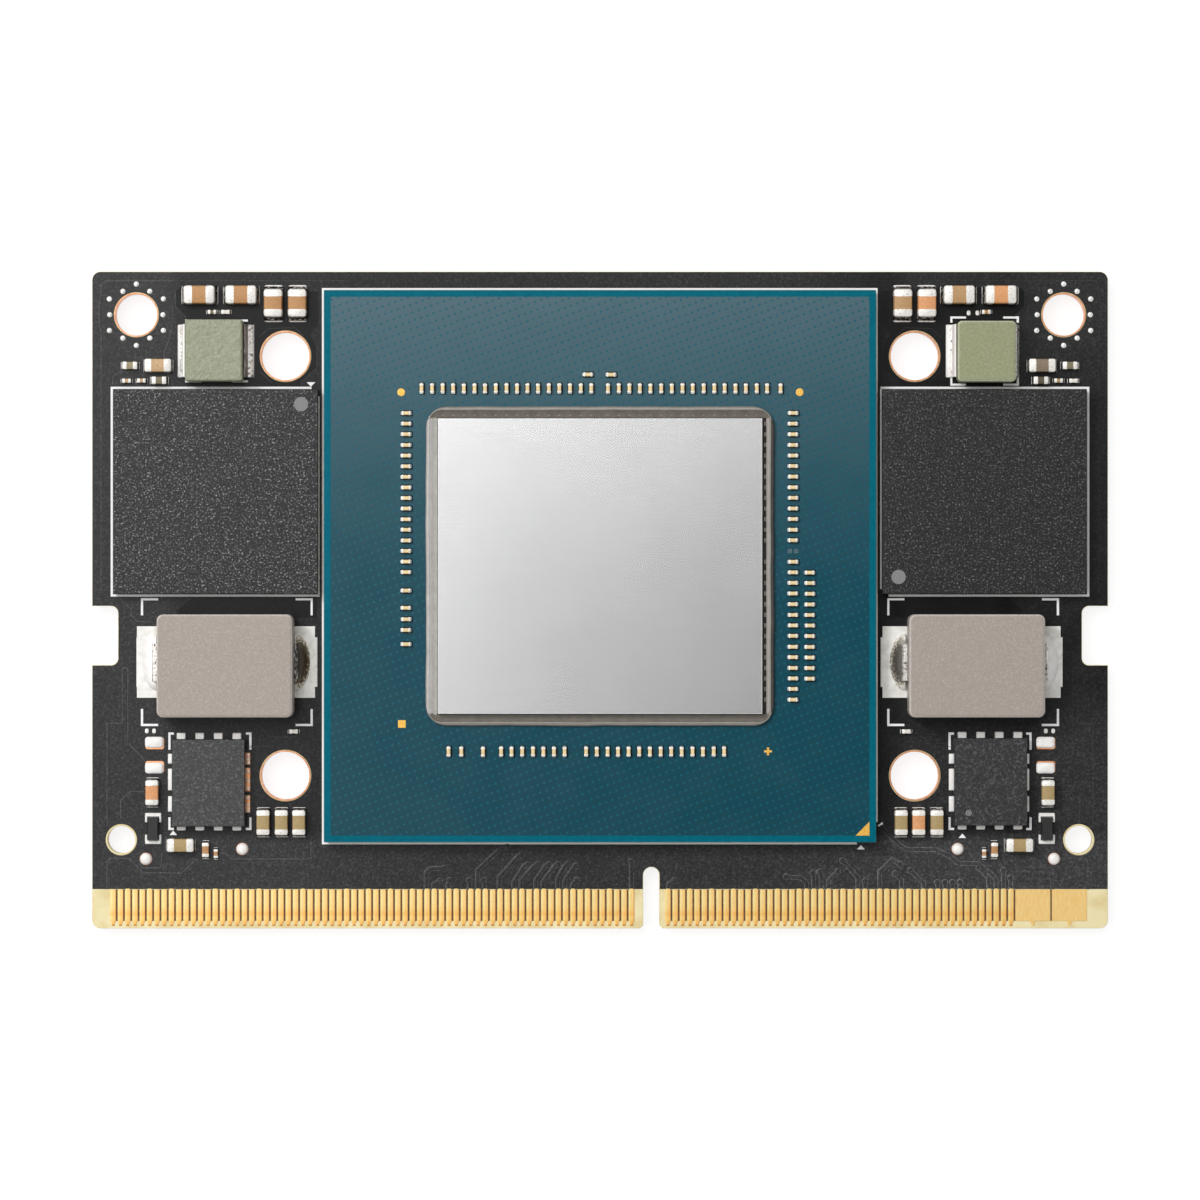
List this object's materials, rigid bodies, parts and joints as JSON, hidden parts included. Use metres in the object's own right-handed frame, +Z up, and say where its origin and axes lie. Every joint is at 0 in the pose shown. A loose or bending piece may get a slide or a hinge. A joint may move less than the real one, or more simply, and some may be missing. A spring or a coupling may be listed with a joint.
{
  "type": "system on module",
  "caption": "Flat computer module: a card-edge circuit board with a bare-die processor package, memory packages, power inductors and chip parts.",
  "frame": {"origin": "middle of the board's outline, on the plane that the underside parts rest on", "axes": "+X along the longer side of the board, +Y away from the edge contacts, +Z up from the component side"},
  "size_m": [0.0696, 0.045, 0.0046],
  "materials": {
    "board_mask": "semi-matt solder mask on glass laminate, with gold contacts and solder",
    "package_laminate": "satin teal solder mask",
    "underfill_resin": "glossy grey resin",
    "die_silicon": "satin ground silicon",
    "ceramic_brown": "matt fired ceramic with bright tinned ends",
    "dark_mould": "fine-grained charcoal moulding compound",
    "inductor_body": "smooth pressed iron powder, beige grey",
    "choke_body": "rough pressed powder, grey green",
    "tinned_metal": "bright tin and solder"
  },
  "bodies": {
    "root": {"circuit_board": "board_mask", "processor_substrate": "package_laminate", "processor_underfill": "underfill_resin", "processor_die": "die_silicon", "top_capacitor_outer_left": "ceramic_brown", "top_capacitor_outer_right": "ceramic_brown", "top_capacitor_inner_left": "ceramic_brown", "top_capacitor_inner_right": "ceramic_brown", "upright_capacitor_outer_left": "ceramic_brown", "upright_capacitor_outer_right": "ceramic_brown", "upright_capacitor_inner_left": "ceramic_brown", "upright_capacitor_inner_right": "ceramic_brown", "memory_filter_left": "ceramic_brown", "memory_filter_right": "ceramic_brown", "memory_resistor_upper_left": "ceramic_brown", "memory_resistor_upper_right": "ceramic_brown", "memory_resistor_lower_left": "ceramic_brown", "memory_resistor_lower_right": "ceramic_brown", "memory_bypass_inner_left": "ceramic_brown", "memory_bypass_inner_right": "ceramic_brown", "memory_bypass_outer_left": "ceramic_brown", "memory_bypass_outer_right": "ceramic_brown", "stage_capacitor_left": "ceramic_brown", "stage_capacitor_right": "ceramic_brown", "gate_capacitor_left": "ceramic_brown", "gate_capacitor_right": "ceramic_brown", "gate_resistor_left": "ceramic_brown", "gate_resistor_right": "ceramic_brown", "gate_bypass_left": "ceramic_brown", "gate_bypass_right": "ceramic_brown", "bulk_capacitor_outer_left": "ceramic_brown", "bulk_capacitor_outer_right": "ceramic_brown", "bulk_capacitor_middle_left": "ceramic_brown", "bulk_capacitor_middle_right": "ceramic_brown", "bulk_capacitor_inner_left": "ceramic_brown", "bulk_capacitor_inner_right": "ceramic_brown", "sense_bypass_left": "ceramic_brown", "sense_bypass_right": "ceramic_brown", "stage_diode_left": "dark_mould", "stage_diode_right": "dark_mould", "power_stage_left": "dark_mould", "power_stage_right": "dark_mould", "memory_left": "dark_mould", "memory_right": "dark_mould", "power_inductor_left": "inductor_body", "power_inductor_right": "inductor_body", "choke_left": "choke_body", "choke_right": "choke_body", "inductor_lead_inner_left": "tinned_metal", "inductor_lead_inner_right": "tinned_metal", "inductor_lead_outer_left": "tinned_metal", "inductor_lead_outer_right": "tinned_metal", "choke_clip_inner_left": "tinned_metal", "choke_clip_inner_right": "tinned_metal", "choke_clip_outer_left": "tinned_metal", "choke_clip_outer_right": "tinned_metal", "top_bypass_outer_left": "ceramic_brown", "top_bypass_inner_left": "ceramic_brown", "top_bypass_right": "ceramic_brown"}
  },
  "joints": []
}
